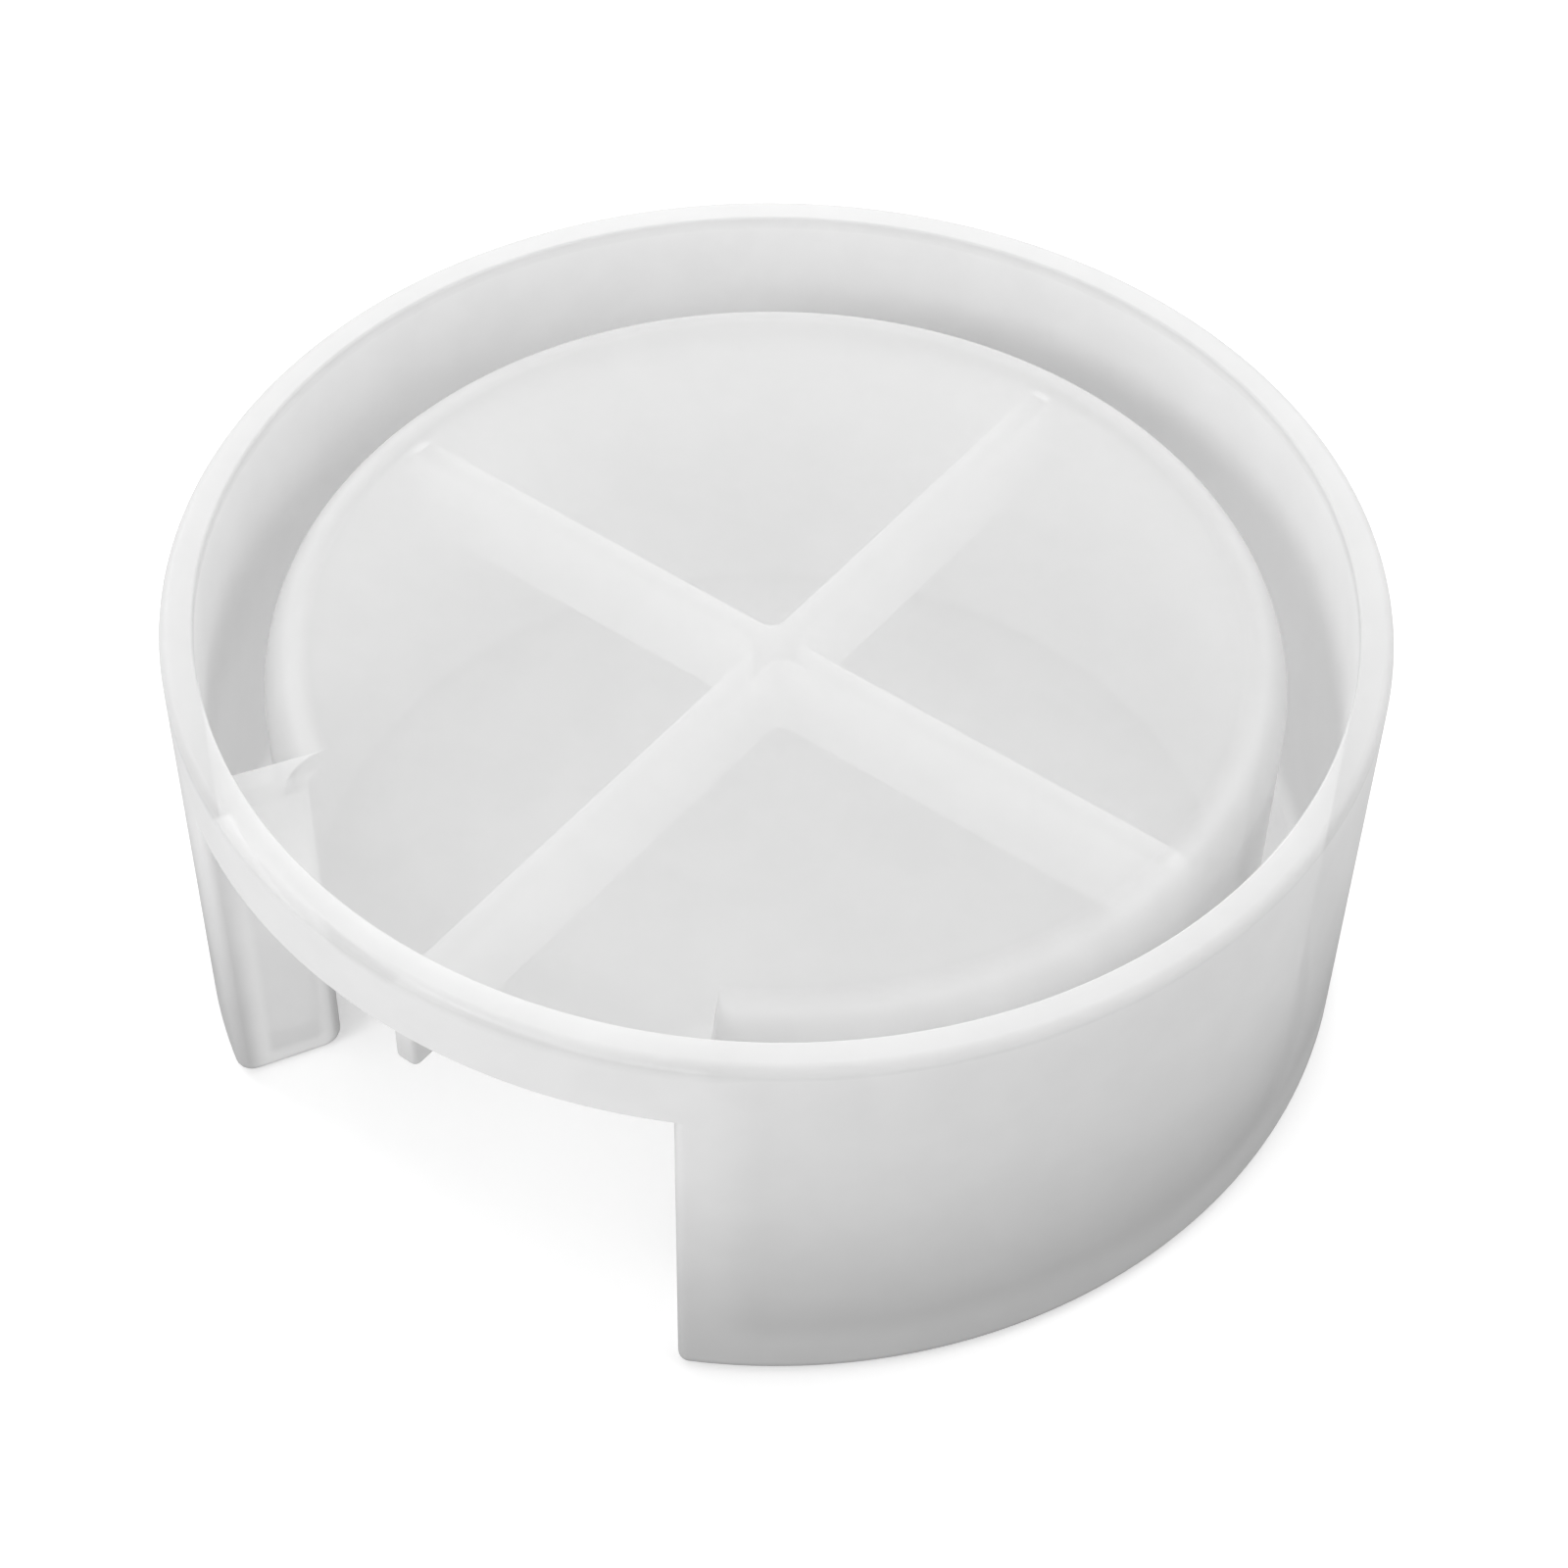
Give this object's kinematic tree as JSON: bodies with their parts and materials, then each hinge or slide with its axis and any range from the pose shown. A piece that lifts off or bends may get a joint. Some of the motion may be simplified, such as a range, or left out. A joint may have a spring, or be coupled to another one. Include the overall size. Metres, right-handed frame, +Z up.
{
  "type": "resin casting mould",
  "caption": "Round open-top silicone mould with a deep C-shaped channel round a raised flat core, cut away across one notch, with cross ribs under the core.",
  "frame": {"origin": "on the table under the middle of the mould, at the bottom centre of its bounding box", "axes": "+Z up along the mould's round axis, out of its open side; -Y towards the middle of the notch; +X to the right as seen from the notch"},
  "size_m": [0.127, 0.127, 0.0505],
  "materials": {
    "silicone": "satin, milky translucent"
  },
  "bodies": {
    "root": {"rim_ring": "silicone", "outer_wall": "silicone", "channel_floor": "silicone", "end_wall_left": "silicone", "end_wall_right": "silicone", "core_wall": "silicone", "core_deck": "silicone", "notch_apron": "silicone", "rib_front": "silicone", "rib_back": "silicone", "rib_left": "silicone", "rib_right": "silicone", "rib_hub": "silicone"}
  },
  "joints": []
}
